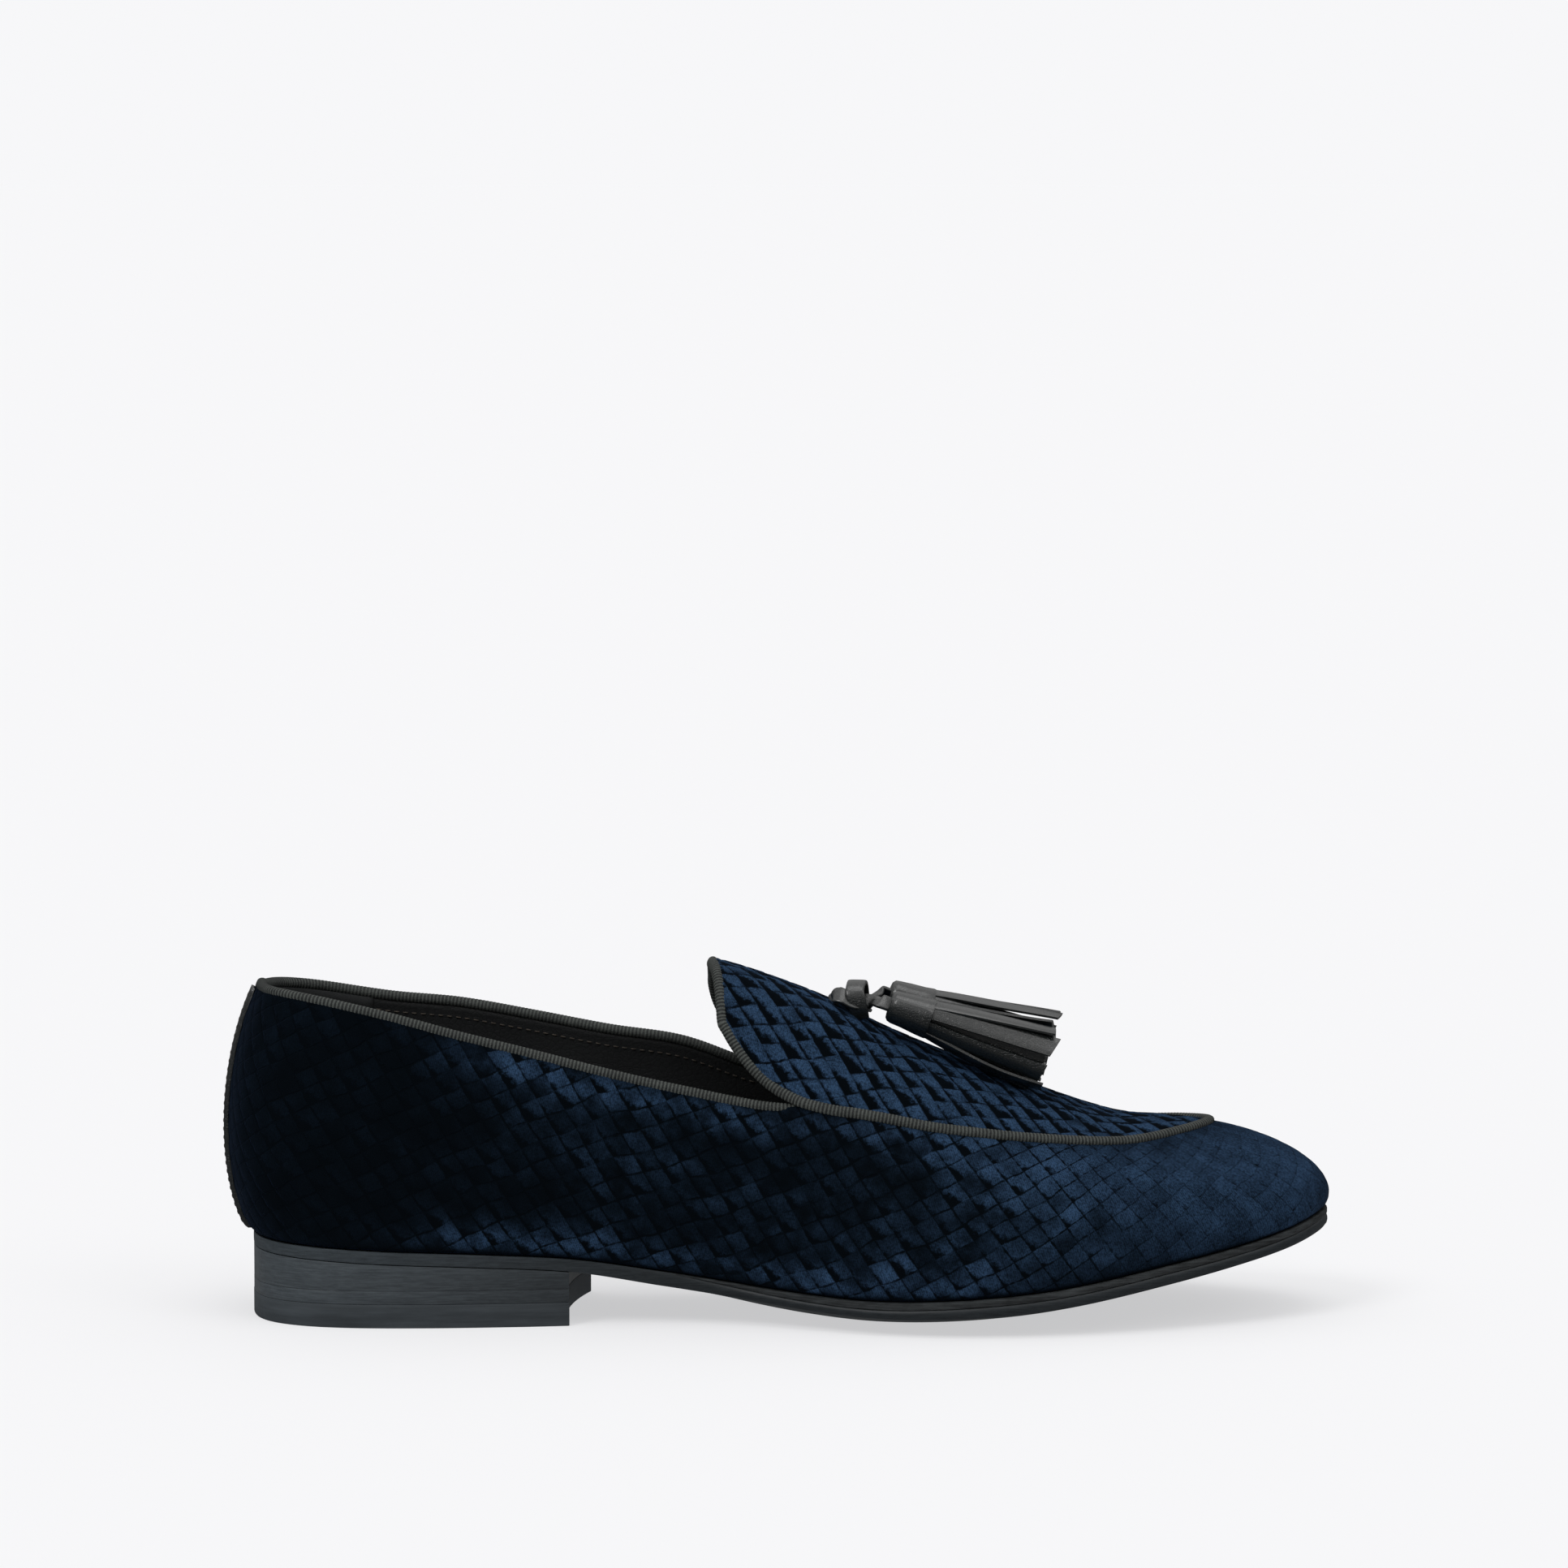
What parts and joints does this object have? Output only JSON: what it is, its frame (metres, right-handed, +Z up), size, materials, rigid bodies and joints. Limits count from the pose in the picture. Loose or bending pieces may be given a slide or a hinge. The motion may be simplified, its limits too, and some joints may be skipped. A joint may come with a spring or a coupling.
{
  "type": "velvet slipper loafer",
  "caption": "Right slipper loafer: woven velvet upper on a dress last, corded apron and collar, tassels, leather sole with welt and stacked heel.",
  "frame": {"origin": "on the floor, in the middle of the heel's rest face on the shoe's length line", "axes": "+X along the shoe towards the toe, +Y to the inner side of the foot, +Z up from the floor"},
  "size_m": [0.3002, 0.0988, 0.0958],
  "materials": {
    "velvet": "embossed basket weave, soft nap",
    "grosgrain": "matte ribs",
    "black_leather": "fine grain, half gloss",
    "lining": "smooth lining",
    "sole_leather": "waxed edge, half gloss",
    "welt_leather": "rough cut edge",
    "rubber": "matte"
  },
  "bodies": {
    "root": {"upper": "velvet", "apron_piping": "grosgrain", "collar_binding": "grosgrain", "backstay": "black_leather", "insole": "lining", "outsole": "sole_leather", "welt": "welt_leather", "heel_base": "sole_leather", "heel_lift": "sole_leather", "top_lift": "rubber", "tassel_outer": "black_leather", "tassel_inner": "black_leather", "tassel_thong": "black_leather"}
  },
  "joints": []
}
